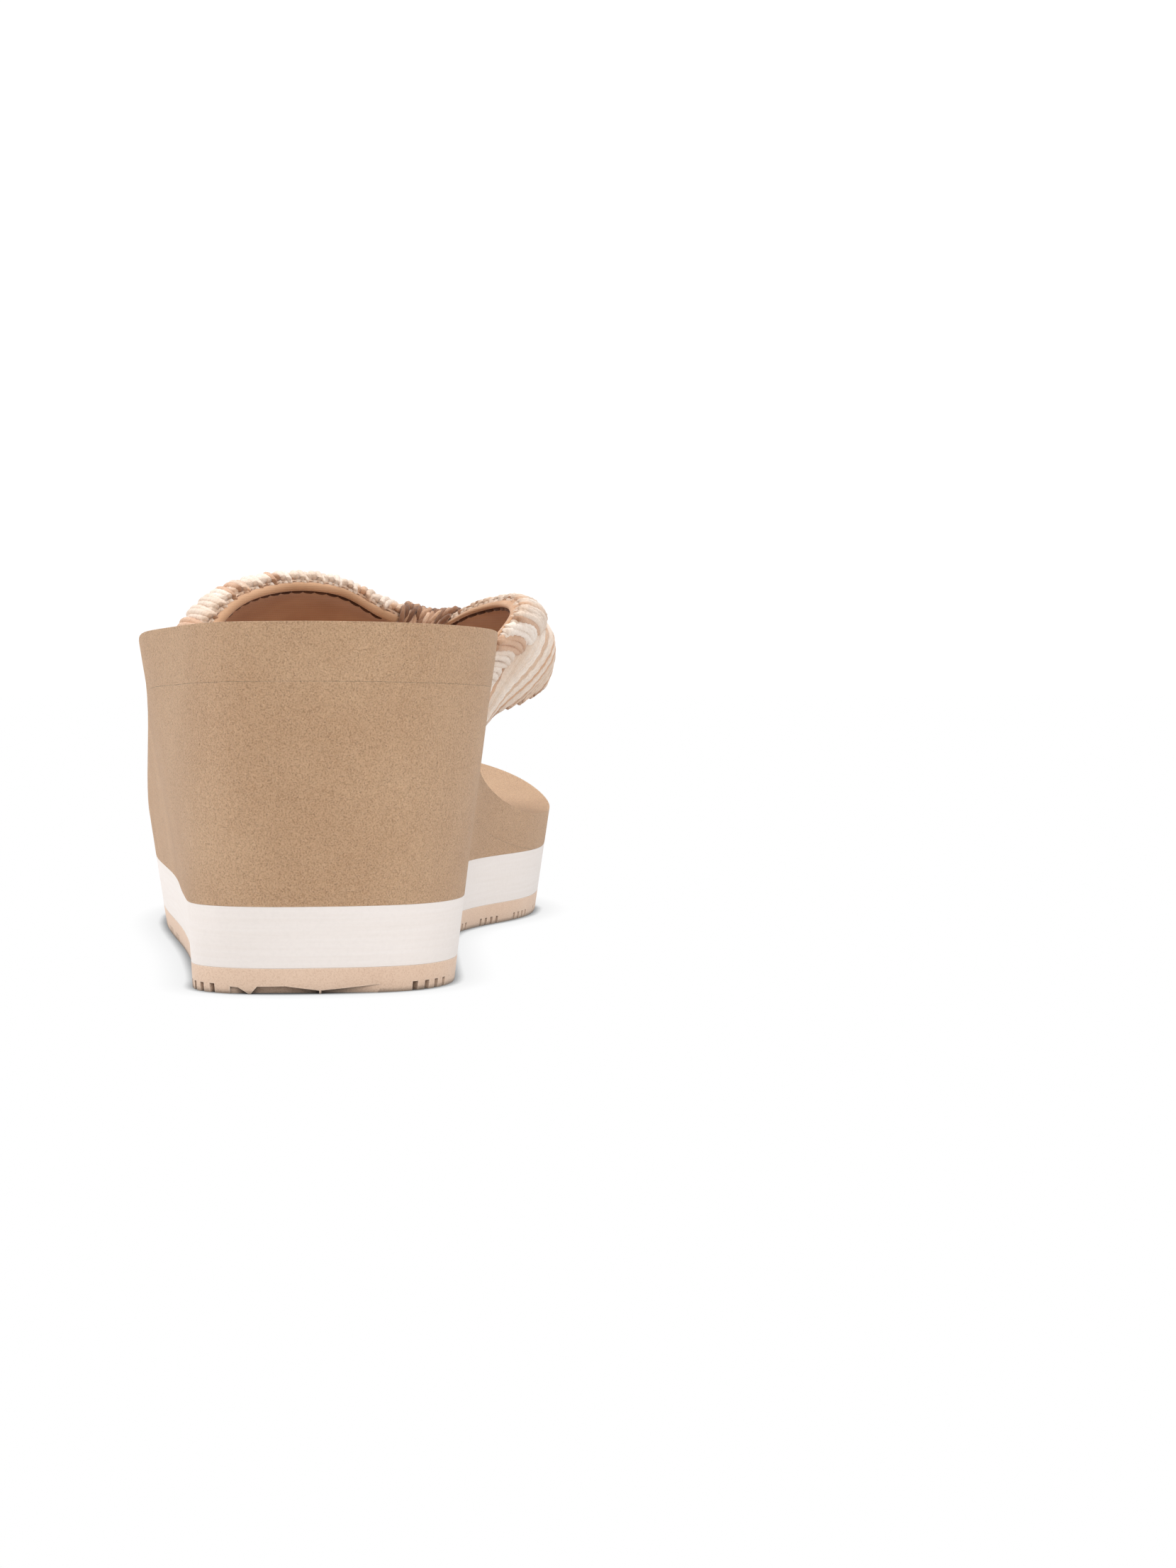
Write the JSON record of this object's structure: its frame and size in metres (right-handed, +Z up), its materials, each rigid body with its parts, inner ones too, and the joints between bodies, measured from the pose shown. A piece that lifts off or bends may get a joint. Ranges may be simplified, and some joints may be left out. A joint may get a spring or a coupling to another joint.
{
  "type": "wedge sandal",
  "caption": "Left slip-on wedge slide sandal: layered foam sole with a contrasting band and treaded outsole under a wide padded braided strap gathered in a knot.",
  "frame": {"origin": "middle of the sandal's footprint, on the floor", "axes": "+Y from heel to toe, +X to the wearer's inner side of a left foot, +Z up"},
  "size_m": [0.0963, 0.2565, 0.0819],
  "materials": {
    "outsole_rubber": "matte",
    "band_foam": "matte",
    "tan_foam": "matte, fine grain",
    "yarn": "braided mixed yarn",
    "lining_fabric": "smooth microfibre",
    "binding_fabric": "smooth rolled edge",
    "padding_foam": "soft foam",
    "webbing_tape": "woven tape",
    "thread": "twisted thread"
  },
  "bodies": {
    "root": {"outsole": "outsole_rubber", "midsole_band": "band_foam", "wedge": "tan_foam", "footbed": "tan_foam", "knot_core": "webbing_tape", "knot_wrap": "yarn", "lateral_braid": "yarn", "lateral_padding": "padding_foam", "lateral_webbing": "webbing_tape", "lateral_lining": "lining_fabric", "lateral_back_binding": "binding_fabric", "lateral_front_binding": "binding_fabric", "lateral_stitching": "thread", "medial_braid": "yarn", "medial_padding": "padding_foam", "medial_webbing": "webbing_tape", "medial_lining": "lining_fabric", "medial_back_binding": "binding_fabric", "medial_front_binding": "binding_fabric", "medial_stitching": "thread"}
  },
  "joints": []
}
